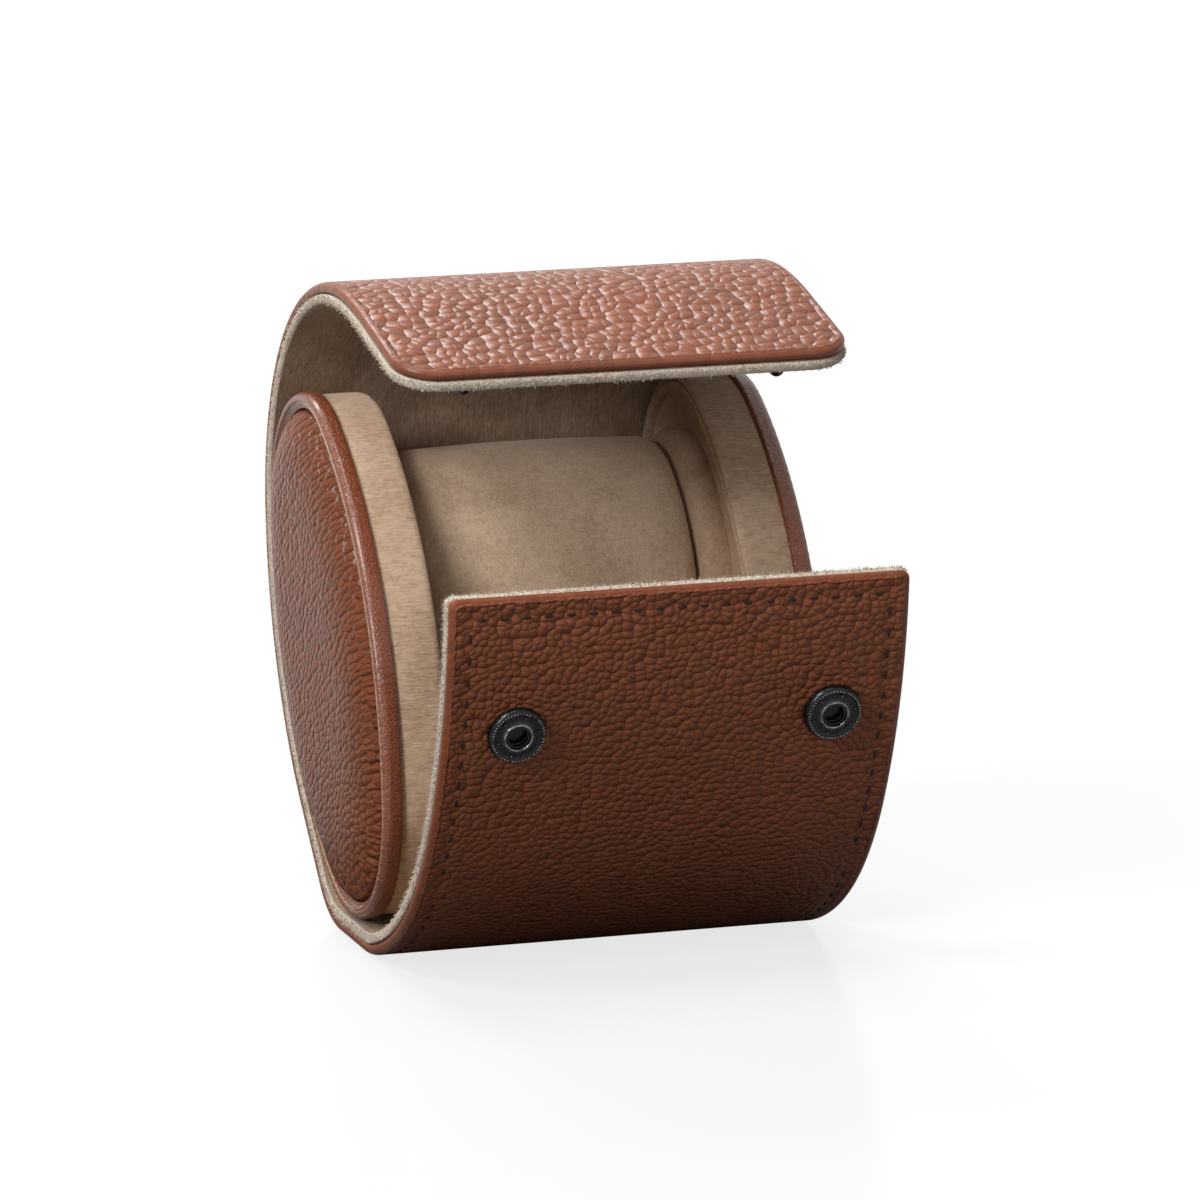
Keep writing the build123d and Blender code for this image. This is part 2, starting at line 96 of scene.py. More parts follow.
soft_box("overhead_box", (-0.05, -0.02, 1.05), (0.45, 0.45), 0.5)
soft_box("back_box", (-0.1, 0.74, 0.8), (0.46, 0.2), 0.6)
soft_box("low_left_box", (-0.78, -0.46, 0.5), (0.24, 0.24), 0.42)
soft_box("high_left_box", (-0.6, -0.26, 0.84), (0.24, 0.24), 0.54)
soft_box("front_box", (0.1, -1.05, 0.36), (0.6, 0.4), 0.15)

floor_half = 8.0
floor_corners = [(x * floor_half, y * floor_half, 0.0) for x, y in ((-1, -1), (1, -1), (1, 1), (-1, 1))]
floor_mesh = bpy.data.meshes.new("floor")
floor_mesh.from_pydata(floor_corners, [], [(0, 1, 2, 3)])
floor = add_object("floor", floor_mesh)

white = (1.0, 1.0, 1.0, 1.0)
bounce_grey = (0.14, 0.14, 0.14, 1.0)
shadow_grey = (0.13, 0.13, 0.13, 1.0)
mirror_grey = (0.07, 0.07, 0.07, 1.0)
mirror_roughness = 0.2
glow_at_roll = 0.77
glow_reach = (0.15, 1.0)
painted_shade_reach = (0.03, 0.2)
fill_level = 0.11


def set_inputs(tree, made, inputs):
    """Gives a node's sockets, by name or number, a value or another node's output."""
    for name, value in inputs.items():
        if isinstance(value, bpy.types.NodeSocket):
            tree.links.new(value, made.inputs[name])
        else:
            made.inputs[name].default_value = value


def node(tree, kind, inputs=None, **settings):
    """Adds a shader node with its settings and then its inputs."""
    made = tree.nodes.new("ShaderNode" + kind)
    for name, value in settings.items():
        setattr(made, name, value)
    set_inputs(tree, made, inputs or {})
    return made


def emptied(owner):
    """The node tree of a material or a world, with nothing in it."""
    owner.use_nodes = True
    owner.node_tree.nodes.clear()
    return owner.node_tree


def calc(tree, operation, first, second):
    """One sum on two numbers or sockets."""
    return node(tree, "Math", {0: first, 1: second}, operation=operation).outputs[0]


def times(tree, first, second):
    """The product of two numbers or sockets."""
    return calc(tree, "MULTIPLY", first, second)


def rest_of(tree, share):
    """What a share leaves of 1."""
    return calc(tree, "SUBTRACT", 1.0, share)


def smooth_step(tree, value, low, high, at_low=0.0, at_high=1.0):
    """One level below low, another above high, and an S curve between."""
    ends = {"Value": value, "From Min": low, "From Max": high, "To Min": at_low, "To Max": at_high}
    return node(tree, "MapRange", ends, interpolation_type="SMOOTHSTEP").outputs[0]


def seen_directly(tree):
    """1 for rays from the camera, a mirror or a glass, 0 for light on its way to the roll."""
    path = node(tree, "LightPath").outputs
    seen = calc(tree, "MAXIMUM", path["Is Camera Ray"], path["Is Glossy Ray"])
    return calc(tree, "MAXIMUM", seen, path["Is Transmission Ray"])


floor_paint = bpy.data.materials.new("floor_white")
tree = emptied(floor_paint)
bounce = node(tree, "BsdfDiffuse", {"Color": bounce_grey})
card = node(tree, "BsdfDiffuse", {"Color": shadow_grey})
mirror = node(tree, "BsdfGlossy", {"Color": mirror_grey, "Roughness": mirror_roughness})
place = node(tree, "TexCoord").outputs["Object"]
from_roll = node(tree, "VectorMath", {0: place}, operation="LENGTH").outputs["Value"]
# Painted shade: in reflections the floor's glow fades out close round the roll, as if the roll shadowed it.
painted_shade_under_roll = rest_of(tree, smooth_step(tree, from_roll, *painted_shade_reach))
mirrored_painted_shade = times(tree, node(tree, "LightPath").outputs["Is Glossy Ray"], painted_shade_under_roll)
glow_level = smooth_step(tree, from_roll, *glow_reach, glow_at_roll, 1.0)
strength = times(tree, glow_level, rest_of(tree, mirrored_painted_shade))
glow = node(tree, "Emission", {"Color": white, "Strength": strength})
lit = node(tree, "AddShader", {0: card.outputs[0], 1: glow.outputs[0]})
lit = node(tree, "AddShader", {0: lit.outputs[0], 1: mirror.outputs[0]})
mixed = node(tree, "MixShader", {0: seen_directly(tree), 1: bounce.outputs[0], 2: lit.outputs[0]})
node(tree, "OutputMaterial", {0: mixed.outputs[0]})
floor_mesh.materials.append(floor_paint)

world = bpy.data.worlds.new("studio")
bpy.context.scene.world = world
tree = emptied(world)
strength = node(tree, "MapRange", {"Value": seen_directly(tree), "To Min": fill_level, "To Max": 1.0})
sky = node(tree, "Background", {"Color": white, "Strength": strength.outputs[0]})
node(tree, "OutputWorld", {0: sky.outputs[0]})


# The wrap's leather: one curled sheet of pebble-grained calf, 1.3 mm thick, turned over the edge of a
# stiffening board. It runs from the front panel's free edge down under the roll, up the back and over to
# the flap's rounded tip. It is cut here in the middle of stiff leaves, so that each length spans one fold.

mm = 0.001
wrap_half = 43.0
leather_thick = 1.3
board_thick = 0.9
lining_thick = 1.9
wrap_thick = leather_thick + board_thick + lining_thick
leather_margin = 0.2
flat_front = -9.0
heel_turn = 45.0
heel_radius = 18.0
back_rise = 88.0
shoulder_radius = 46.8

cap_length = 100.4
cap_width = 62.0
cap_end_radius = 24.0
cap_lean = math.radians(31.6)
cap_centre_y = 13.5
cap_floor_gap = 0.6
cap_gap = 0.2
lean_up = math.sin(cap_lean) + 1j * math.cos(cap_lean)
lean_back = math.cos(cap_lean) - 1j * math.sin(cap_lean)
cap_reach = cap_length / 2 - cap_end_radius
cap_rise = cap_width / 2 - cap_end_radius
cap_drop = (cap_reach ** 2 - cap_rise ** 2) / (2 * cap_rise)
cap_side_radius = cap_drop + cap_width / 2
cap_centre = cap_centre_y + 1j * (wrap_thick + cap_floor_gap + cap_end_radius + cap_reach * lean_up.imag)

hug_radius = cap_side_radius + cap_gap + wrap_thick
hug_start = cap_centre - lean_back * cap_drop - 1j * hug_radius * np.exp(1j * math.radians(heel_turn))
heel_foot = hug_start.real - hug_start.imag / math.tan(math.radians(heel_turn))
heel_run = heel_radius * math.tan(math.radians(heel_turn / 2))
heel_straight = abs(hug_start - heel_foot) - heel_run

wrap_runs = {
    "panel_top": (24.9, 111.0),
    "panel_low": (12.0, 65.0),
    "lower": (34.0, 59.0),
    "toe": (15.8, 25.0),
    "flat": (0.0, heel_foot - heel_run - flat_front),
    "heel": (heel_turn, heel_radius),
    "rise": (0.0, heel_straight),
    "hug": (back_rise - heel_turn, hug_radius),
    "shoulder": (14.0, shoulder_radius),
    "crown": (32.0, shoulder_radius),
    "flap_root": (20.4, shoulder_radius),
    "flap_middle": (31.8, 52.0),
    "flap_end": (7.9, 87.0),
    "flap_tip": (0.0, 26.53),
}
run_turns = np.radians([turn for turn, size in wrap_runs.values()])
run_lengths = np.array([size * (math.radians(turn) if turn else 1.0) for turn, size in wrap_runs.values()])
run_bends = run_turns / run_lengths
run_ends = np.cumsum(run_lengths)
run_starts = run_ends - run_lengths
run_heads = np.cumsum(run_turns) - run_turns
flat_index = list(wrap_runs).index("flat")
run_heads -= run_heads[flat_index]
mesh_step = 1.0
sharp_angle = math.radians(50.0)


def along_run(start, heading, bend, distance):
    """Point reached from a start after a distance on an arc: the chord is the distance times the sine of
    half the turn over half the turn, and it points half the turn past the heading."""
    half_turn = bend * distance / 2
    return start + distance * np.sinc(half_turn / np.pi) * np.exp(1j * (heading + half_turn))


run_points = [0j]
for run_head, run_bend, run_length in zip(run_heads, run_bends, run_lengths):
    run_points.append(along_run(run_points[-1], run_head, run_bend, run_length))
run_points = np.array(run_points) - run_points[flat_index] + flat_front


def run_at(distance):
    """Number of the run at a distance along the outer leather, and the distance past the run's start."""
    index = np.clip(np.searchsorted(run_ends, distance), 0, len(run_ends) - 1)
    return index, distance - run_starts[index]


def heading_at(distance):
    """Unit vector along the wrap at a distance, from the panel's edge towards the flap's tip."""
    index, past = run_at(distance)
    return np.exp(1j * (run_heads[index] + run_bends[index] * past))


def on_wrap(distance, depth):
    """Point of the side view, y + z j, at a distance along the outer leather and a depth under it."""
    index, past = run_at(distance)
    surface = along_run(run_points[index], run_heads[index], run_bends[index], past)
    return surface + 1j * heading_at(distance) * depth


def run_end(name):
    """Distance from the panel's free edge to the end of a run."""
    return float(run_ends[list(wrap_runs).index(name)])


panel_fold = run_end("panel_low")
lower_fold = run_end("lower")
crown_fold = run_end("shoulder")
flap_fold = run_end("crown")
wrap_end = run_end("flap_tip")
lower_cut = (panel_fold + lower_fold) / 2
back_cut = run_end("rise")
crown_cut = (crown_fold + flap_fold) / 2

wrap_lengths = {
    "front_panel": (0.0, lower_cut, panel_fold, "front_panel", "front_lower"),
    "front_base": (lower_cut, back_cut, lower_fold, "front_lower", "back"),
    "back_rise": (back_cut, crown_cut, crown_fold, "back", "crown"),
    "flap": (crown_cut, wrap_end, flap_fold, "crown", "flap"),
}


def spread(low, high, fine_low, fine_high):
    """Places from low to high, about a mesh step apart, and closer near an end that is a free edge."""
    close = np.array([0.0, 0.04, 0.12, 0.25, 0.42, 0.65, 0.95, 1.3, 1.7, 2.2, 2.6, 3.0, 3.4, 3.8, 4.3])
    first = low + close if fine_low else np.array([low])
    last = high - close[::-1] if fine_high else np.array([high])
    count = max(2, int(round((last[0] - first[-1]) / mesh_step)))
    return np.concatenate([first, np.linspace(first[-1], last[0], count + 1)[1:-1], last])


def grid_faces(rows, columns, start=0, ring=False):
    """Quads between the rows and columns of a grid of points; a ring joins the last column to the first."""
    index = start + np.arange(rows * columns).reshape(rows, columns)
    if ring:
        index = np.hstack([index, index[:, :1]])
    return np.stack([index[:-1, :-1], index[:-1, 1:], index[1:, 1:], index[1:, :-1]], -1).reshape(-1, 4)


def make_piece(name, points, faces, material, place=None):
    """A closed mesh from points in millimetres: doubles merged, normals turned outwards, edges past the
    sharp angle kept sharp. Place is a flat coordinate of each point on its hide or cloth."""
    mesh = bpy.data.meshes.new(name)
    mesh.from_pydata((np.asarray(points) * mm).tolist(), [], [f for part in faces for f in part.tolist()])
    if place is not None:
        mesh.attributes.new("place", "FLOAT_VECTOR", "POINT").data.foreach_set("vector", np.ravel(place))
    shape = bmesh.new()
    shape.from_mesh(mesh)
    bmesh.ops.remove_doubles(shape, verts=shape.verts, dist=1e-7)
    bmesh.ops.recalc_face_normals(shape, faces=shape.faces)
    shape.to_mesh(mesh)
    shape.free()
    mesh.shade_smooth()
    mesh.set_sharp_from_angle(angle=sharp_angle)
    mesh.materials.append(material)
    return add_object(name, mesh)


def rounded_outline(x, s, half, ends, corners):
    """Moves the points of a rectangle into one with rounded free corners, and gives how far each lies in
    from the outline. Within a corner's radius a point keeps its larger offset and slides to the quarter
    circle."""
    tips = np.stack([s - ends[0], ends[1] - s])
    edge = np.clip(np.minimum(half - np.abs(x), tips.min(0)), 0, None)
    radius = np.where(tips[0] < tips[1], corners[0], corners[1])
    side = np.clip((np.abs(x) - half + radius) / radius, 0, None)
    tip = np.clip((radius - tips.min(0)) / radius, 0, None)
    at_corner = (side > 0) & (tip > 0)
    pull = np.where(at_corner, np.maximum(side, tip) / np.maximum(np.hypot(side, tip), 1e-9), 1.0)
    x = np.sign(x) * (half - radius + radius * side * pull) * (side > 0) + x * (side <= 0)
    return x, s + (tip - tip * pull) * radius * np.where(tips[0] < tips[1], 1.0, -1.0), edge


def in_space(x, spot):
    """Points in space from places across the roll and points y + z j of the side view."""
    return np.stack([x + 0 * spot.real, spot.real, spot.imag], -1).reshape(-1, 3)


def wrap_layer(name, span, half, ends, corners, top_depth, low_depth, material, fringe=None):
    """A layer of the wrap over a span of it. Top and low depth are functions of the distance in from the
    outline and of the distance along, and meet at the outline itself. Fringe adds fibres to the raw edge."""
    low, high = span
    across = spread(-half, half, True, True)
    along = spread(max(low, ends[0]), min(high, ends[1]), low <= ends[0], high >= ends[1])
    x, s, edge = rounded_outline(*np.meshgrid(across, along), half, ends, corners)
    points = [in_space(x, on_wrap(s, depth(edge, s))) for depth in (top_depth, low_depth)]
    place = np.stack([x, s, edge], -1).reshape(-1, 3)
    places = [place, place]
    rows, columns = x.shape
    faces = [grid_faces(rows, columns), grid_faces(rows, columns, rows * columns)]
    for row, open_end in ((0, low > ends[0]), (rows - 1, high < ends[1])):
        if open_end:
            upper = row * columns + np.arange(columns)
            lower = upper + rows * columns
            faces.append(np.stack([upper[:-1], upper[1:], lower[1:], lower[:-1]], -1))
    if fringe:
        tufts, tuft_faces = fringe(low, high, half, ends, corners)
        faces.append(tuft_faces + sum(len(p) for p in points))
        points.append(tufts)
        places.append(np.zeros_like(tufts))
    return make_piece(name, np.vstack(points), faces, material, np.vstack(places))


def bend(piece, fold, body_a, body_b):
    """Bakes the piece's transform into its mesh; the fold and the two bodies are not used."""
    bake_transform(piece)


def new_group(name, vector_inputs, float_inputs, float_outputs):
    """An empty shader group with sockets of these names."""
    group = bpy.data.node_groups.new(name, "ShaderNodeTree")
    for titles, way, kind in ((vector_inputs, "INPUT", "Vector"), (float_inputs, "INPUT", "Float"),
                              (float_outputs, "OUTPUT", "Float")):
        for title in titles:
            group.interface.new_socket(name=title, in_out=way, socket_type="NodeSocket" + kind)
    return group, group.nodes.new("NodeGroupInput").outputs, group.nodes.new("NodeGroupOutput")


def mix_colour(tree, share, first, second, blend_type="MIX"):
    """Two colours or sockets mixed by a share."""
    mixer = node(tree, "Mix", {0: share, 6: first, 7: second}, data_type="RGBA", blend_type=blend_type)
    return mixer.outputs[2]


def plus(tree, first, second):
    """The sum of two numbers or sockets."""
    return calc(tree, "ADD", first, second)


def levels(tree, value, gain, base):
    """A value times a gain, plus a base."""
    return plus(tree, times(tree, value, gain), base)


def vectors(tree, operation, first, second):
    """One sum on two vectors or sockets."""
    return node(tree, "VectorMath", {0: first, 1: second}, operation=operation).outputs[0]


def axis_of(tree, vector, axis):
    """One number of a vector."""
    return node(tree, "SeparateXYZ", {0: vector}).outputs[axis]


def noise(tree, place, scale, detail=4.0, roughness=0.5, distortion=0.0):
    """Cloudy noise from 0 to 1."""
    return node(tree, "TexNoise", {"Vector": place, "Scale": scale, "Detail": detail, "Roughness": roughness,
                                   "Distortion": distortion}).outputs["Fac"]


sway_scale = 0.16
sway_reach = 2.2
cell_unevenness = 0.82
cell_softness = 0.22
crease_width = 0.2
dome_power = 1.9
dome_height = -1.25
shoulder_height = 0.08
pore_height = 0.12

grain, given, result = new_group("pebble_grain", ["Place"], ["Pebble"], ["Height", "Crease", "Tone"])
sway = node(grain, "TexNoise", {"Vector": given["Place"], "Scale": sway_scale, "Detail": 1.0})
sway = vectors(grain, "SUBTRACT", sway.outputs["Color"], (0.5, 0.5, 0.5))
sway = node(grain, "VectorMath", {0: sway, "Scale": sway_reach}, operation="SCALE").outputs[0]
swayed = vectors(grain, "ADD", given["Place"], sway)
density = calc(grain, "DIVIDE", 1.0, given["Pebble"])


def cells(feature, output, **softness):
    """Distances or colours in a scatter of cells."""
    inputs = {"Vector": swayed, "Scale": density, "Randomness": cell_unevenness, **softness}
    return node(grain, "TexVoronoi", inputs, feature=feature, voronoi_dimensions="2D").outputs[output]


border = smooth_step(grain, cells("DISTANCE_TO_EDGE", "Distance"), 0.0, crease_width)
dome = cells("SMOOTH_F1", "Distance", Smoothness=cell_softness)
dome = times(grain, calc(grain, "POWER", dome, dome_power), dome_height)
raised = plus(grain, dome, times(grain, border, shoulder_height))
pores = times(grain, noise(grain, given["Place"], scale=3.2, roughness=0.6), pore_height)
set_inputs(grain, result, {"Height": plus(grain, raised, pores), "Crease": rest_of(grain, border),
                           "Tone": axis_of(grain, cells("F1", "Color"), "X")})


def blank_material(name):
    """A material with one Principled BSDF and nothing else."""
    made = bpy.data.materials.new(name)
    tree = emptied(made)
    shader = node(tree, "BsdfPrincipled")
    node(tree, "OutputMaterial", {0: shader.outputs[0]})
    return made, tree, shader


def hide_place(tree):
    """The place attribute: a point's flat coordinate on its hide, with the distance in from the edge."""
    return node(tree, "Attribute", attribute_name="place").outputs["Vector"]


def bumped(tree, height, relief):
    """The normal of a surface with this height, where a height of 1 is the relief in millimetres."""
    return node(tree, "Bump", {"Height": height, "Distance": relief * mm, "Strength": 1.0}).outputs[0]


pebble_across = (0.92, 0.66)
pebble_along = 1.1
flank_step = (0.22, 0.0, 0.0)
flank_slope = (0.14, 0.25)
glint_gaps = (0.34, 0.5)
edge_glint = 0.07
most_glint = 0.8
edge_pebbles = 0.15
crumple_height = 3.0
crease_shade_amount = 0.4


def grained_leather(name, face, crease_shade_colour, edge_tone, bare_edge, pebble, shine, relief, glints):
    """Pebbled leather. Colours are the pebbles' own, a painted shade for the creases between them, and that
    of the edge, where the hide is stretched over its board and its pebbles die out; bare edge is the insets
    between which they come up. Where the grain is higher a step to the right, on the pebble's left flank, a
    smooth coat gives a painted glint, and a little of it lies on the bare edge. Glints gives the places along
    the hide where that painted glint starts and where it is full, how far the grain is drawn out past the
    start, and the place from which the pebbles widen."""
    glint_start, glint_full, stretch, widen_from = glints
    made, tree, shader = blank_material(name)
    place = hide_place(tree)
    ahead = axis_of(tree, place, "Y")
    across = smooth_step(tree, ahead, widen_from, glint_full, *pebble_across)
    scaled = node(tree, "CombineXYZ", {0: across, 1: pebble_along}).outputs[0]
    past_start = calc(tree, "MAXIMUM", calc(tree, "SUBTRACT", ahead, glint_start), 0.0)
    drawn_out = node(tree, "CombineXYZ", {1: times(tree, past_start, stretch)}).outputs[0]
    flat_place = vectors(tree, "SUBTRACT", vectors(tree, "MULTIPLY", place, scaled), drawn_out)
    here, beside = [node(tree, "Group", {"Place": spot, "Pebble": pebble}, node_tree=grain).outputs
                    for spot in (flat_place, vectors(tree, "ADD", flat_place, flank_step))]
    inset = plus(tree, axis_of(tree, place, "Z"), noise(tree, flat_place, scale=0.5, detail=2.0))
    full = smooth_step(tree, inset, bare_edge[0] + 0.5, bare_edge[1] + 0.5)
    bare = rest_of(tree, full)
    patches = noise(tree, flat_place, scale=0.06)
    tone = levels(tree, here["Tone"], gain=0.16, base=0.92)
    shade = times(tree, levels(tree, patches, gain=0.4, base=0.8), tone)
    # Painted shade: the creases between the pebbles are darkened towards the crease shade colour.
    painted_crease_shade = times(tree, times(tree, here["Crease"], full), crease_shade_amount)
    colour = mix_colour(tree, full, edge_tone, mix_colour(tree, painted_crease_shade, face, crease_shade_colour))
    # Painted glint: a smooth coat on the pebbles' left flanks, and a little along the bare edge, fading in
    # along the hide.
    flank = smooth_step(tree, calc(tree, "SUBTRACT", beside["Height"], here["Height"]), *flank_slope)
    broken = noise(tree, flat_place, scale=0.8, detail=2.0)
    glint_coat = times(tree, flank, smooth_step(tree, broken, *glint_gaps))
    glint_coat = plus(tree, times(tree, glint_coat, full), times(tree, bare, edge_glint))
    along = times(tree, smooth_step(tree, ahead, glint_start, glint_full), most_glint)
    rise = times(tree, here["Height"], levels(tree, full, 1.0 - edge_pebbles, edge_pebbles))
    crumple = times(tree, noise(tree, flat_place, scale=1.5, detail=3.0), times(tree, full, bare))
    rise = plus(tree, rise, times(tree, crumple, crumple_height))
    set_inputs(tree, shader, {"Base Color": mix_colour(tree, 1.0, colour, shade, "MULTIPLY"),
                              "Roughness": levels(tree, patches, gain=0.16, base=0.26),
                              "Specular IOR Level": shine, "Coat Weight": times(tree, glint_coat, along),
                              "Coat IOR": 3.0, "Coat Roughness": 0.42,
                              "Normal": bumped(tree, rise, relief)})
    return made


# Its second colour is painted shade for the creases; its glints put a painted glint coat from the crown on to
# the flap.
wrap_leather = grained_leather("wrap_leather", (0.205, 0.062, 0.0265, 1.0), (0.12, 0.033, 0.014, 1.0),
                               (0.185, 0.053, 0.023, 1.0), (0.7, 1.5), 1.42, 0.13, 0.6,
                               (crown_fold, flap_fold, 0.6, lower_fold))

turned_edge = leather_thick + board_thick
top_rounding = 1.5
under_rounding = 0.9
hem_width = 3.4
hem_slope = 1.0
seam_inset = 3.5
seam_sink = 0.22
seam_width = 0.75
seam_fade = 6.0


def quarter_round(edge, reach):
    """0 at the outline and 1 from a reach inwards, along a quarter ellipse."""
    return np.sqrt(1 - np.clip(1 - edge / reach, 0, 1) ** 2)


def leather_top(edge, s):
    """Depth of the outer face: a quarter ellipse down to half the turned edge's thickness, and a shallow
    bell-shaped valley along the stitching of the front."""
    rounding = turned_edge / 2 * (1 - quarter_round(edge, top_rounding))
    stitched = np.clip((lower_fold - s) / seam_fade, 0, 1)
    return rounding + seam_sink * stitched * np.exp(-((edge - seam_inset) / seam_width) ** 2)


def leather_low(edge, s):
    """Depth of the inner face: round at the turned edge, then flat under the hem, then the hide alone."""
    under = turned_edge / 2 * (1 + quarter_round(edge, under_rounding))
    hem = np.clip((edge - hem_width) / hem_slope, 0, 1)
    return under + (leather_thick - turned_edge) * hem * hem * (3 - 2 * hem) * (edge > hem_width)


flap_corner = 8.4
panel_corner = 1.6
leather_ends = (leather_margin / 2, wrap_end - 2 * leather_margin)
leather_corners = (panel_corner, flap_corner - 2 * leather_margin)
for part, (low, high, fold, body_a, body_b) in wrap_lengths.items():
    skin = wrap_layer(part + "_hide", (low, high), wrap_half - leather_margin, leather_ends, leather_corners,
                      leather_top, leather_low, wrap_leather)
    bend(skin, fold, body_a, body_b)
    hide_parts((body_b if part == "flap" else body_a) + "_leather")
    if part == "flap":
        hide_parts("crown_leather")


# The lining: suede with a short nap, 1.9 mm thick with its backing, glued to the board. It is cut a
# little wider than the leather, so its pale, fluffy raw edge shows all the way round the wrap.

fibre_scale = 3.2
clump_scale = 0.9
stroke_scale = 0.09

nap, given, result = new_group("suede_nap", ["Place", "Streak"], [], ["Height", "Tone"])
fibres = noise(nap, given["Streak"], scale=fibre_scale, roughness=0.65)
clumps = noise(nap, given["Place"], scale=clump_scale, detail=3.0, roughness=0.6)
strokes = noise(nap, given["Place"], scale=stroke_scale, detail=3.0, distortion=0.6)
tone = plus(nap, times(nap, fibres, 0.62), times(nap, clumps, 0.3))
set_inputs(nap, result, {"Height": plus(nap, times(nap, fibres, 0.6), times(nap, clumps, 0.4)),
                         "Tone": plus(nap, tone, times(nap, strokes, 0.35))})


def in_millimetres(tree):
    """Object coordinates in millimetres."""
    place = node(tree, "TexCoord").outputs["Object"]
    return node(tree, "VectorMath", {0: place, "Scale": 1 / mm}, operation="SCALE").outputs[0]


nap_tones = (0.46, 0.8)
fluff_tones = (0.3, 0.65)
fluff_height = 3.0
cut_edge_reach = (0.4, 1.0)
sheen_tint = (1.0, 0.9, 0.78, 1.0)


def suede(name, light, dark, streak=(1.0, 1.0, 1.0), flat=True, relief=0.22, cut_edge=None):
    """Brushed suede: fibres that catch the light, darker between them, with a soft sheen at grazing angles.
    It reads the flat place of its cloth, or else the place in space. Its cut edge, where place's third
    number is small, is the pale colour of the hide's core."""
    made, tree, shader = blank_material(name)
    place = hide_place(tree) if flat else in_millimetres(tree)
    streaks = vectors(tree, "MULTIPLY", place, streak)
    napped = node(tree, "Group", {"Place": place, "Streak": streaks}, node_tree=nap).outputs
    colour = mix_colour(tree, smooth_step(tree, napped["Tone"], *nap_tones), dark, light)
    height = napped["Height"]
    if cut_edge:
        within = smooth_step(tree, axis_of(tree, place, "Z"), *cut_edge_reach)
        fluff = noise(tree, in_millimetres(tree), scale=2.4, roughness=0.65)
        core = mix_colour(tree, smooth_step(tree, fluff, *fluff_tones), light, cut_edge)
        colour = mix_colour(tree, within, core, colour)
        height = node(tree, "Mix", {0: within, 2: times(tree, fluff, fluff_height), 3: height}).outputs[0]
    set_inputs(tree, shader, {"Base Color": colour, "Roughness": 0.95, "Specular IOR Level": 0.1,
                              "Sheen Weight": 0.3, "Sheen Roughness": 0.5, "Sheen Tint": sheen_tint,
                              "Normal": bumped(tree, height, relief)})
    return made


suede_light = (0.64, 0.46, 0.32, 1.0)
suede_dark = (0.4, 0.26, 0.165, 1.0)
suede_core = (0.86, 0.78, 0.67, 1.0)
# The lining's colours are darker than the caps' suede, as painted shade for the inside of the roll.
lining_suede = suede("lining_suede", (0.5, 0.35, 0.24, 1.0), (0.26, 0.165, 0.1, 1.0), streak=(1.0, 0.1, 1.0),
                     cut_edge=suede_core)

lining_roll = lining_thick / 2
glued_rounding = 0.5
napped_rounding = 0.7


def lining_top(edge, s):
    """Depth of the glued face, rounded over at the raw edge."""
    return wrap_thick - lining_roll - lining_roll * quarter_round(edge, glued_rounding)


def lining_low(edge, s):
    """Depth of the napped face, rounded over at the raw edge."""
    return wrap_thick - lining_roll + lining_roll * quarter_round(edge, napped_rounding)


fuzz = np.random.default_rng(11)
fibres_per_mm = 9
fibre_lengths = (0.15, 0.6)
fibre_tilts = (0.22, 0.28)
fibre_foot = ((-0.07, -0.05), (0.07, -0.05), (0.0, 0.08))
root_depth = (0.08, 0.25)
edge_margins = (0.15, 0.12)
step_in = 0.5


def raw_edge_fibres(low, high, half, ends, corners):
    """Short fibres that stand out of the raw edge: slim three-sided spikes with random places, lengths and
    tilts, worked out in places on the wrap and then carried on to it. Each root goes deeper with the fourth
    power of its distance from the middle of the cloth, because the edge is rounded over."""
    rim = [(side * half + 0 * s, s) for side in (-1, 1)
           for s in [fuzz.uniform(low, high, int((high - low) * fibres_per_mm))]]
    for end in ends:
        if low <= end <= high:
            x = fuzz.uniform(-half, half, int(2 * half * fibres_per_mm))
            rim.append((x, end + 0 * x))
    x, s = np.concatenate(rim, axis=1)
    middle = (ends[0] + ends[1]) / 2
    on_tip = (s == ends[0]) | (s == ends[1])
    inner_x = np.where(on_tip, x, x - np.sign(x) * step_in)
    inner_s = np.where(on_tip, s + np.sign(middle - s) * step_in, s)
    x, s, edge = rounded_outline(x, s, half, ends, corners)
    inner_x, inner_s, edge = rounded_outline(inner_x, inner_s, half, ends, corners)
    out = np.stack([x - inner_x, s - inner_s], -1)
    out = out / np.linalg.norm(out, axis=1, keepdims=True)
    along = np.stack([-out[:, 1], out[:, 0]], -1)
    depth = fuzz.uniform(wrap_thick - lining_thick + edge_margins[0], wrap_thick - edge_margins[1], len(x))
    length = fuzz.uniform(*fibre_lengths, len(x))
    sideways, droop = [fuzz.normal(0, tilt, len(x)) for tilt in fibre_tilts]
    off_middle = np.abs(depth - wrap_thick + lining_roll) / lining_roll
    root = -root_depth[0] - root_depth[1] * off_middle ** 4
    points = []
    for outward, beside, below in [(root, *corner) for corner in fibre_foot] + [(length, sideways, droop)]:
        spot = np.stack([x, s], -1) + out * (outward + 0 * x)[:, None] + along * (beside + 0 * x)[:, None]
        points.append(in_space(spot[:, 0], on_wrap(spot[:, 1], depth + below)))
    sides = np.array([(0, 1, 2), (0, 1, 3), (1, 2, 3), (2, 0, 3)])
    faces = np.arange(len(x))[:, None] + len(x) * sides[:, None]
    return np.vstack(points), faces.reshape(-1, 3)


for part, (low, high, fold, body_a, body_b) in wrap_lengths.items():
    cloth = wrap_layer(part + "_suede", (low, high), wrap_half, (0.0, wrap_end), (panel_corner, flap_corner),
                       lining_top, lining_low, lining_suede, fringe=raw_edge_fibres)
    bend(cloth, fold, body_a, body_b)
    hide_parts((body_b if part == "flap" else body_a) + "_lining")
    if part == "flap":
        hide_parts("crown_lining")


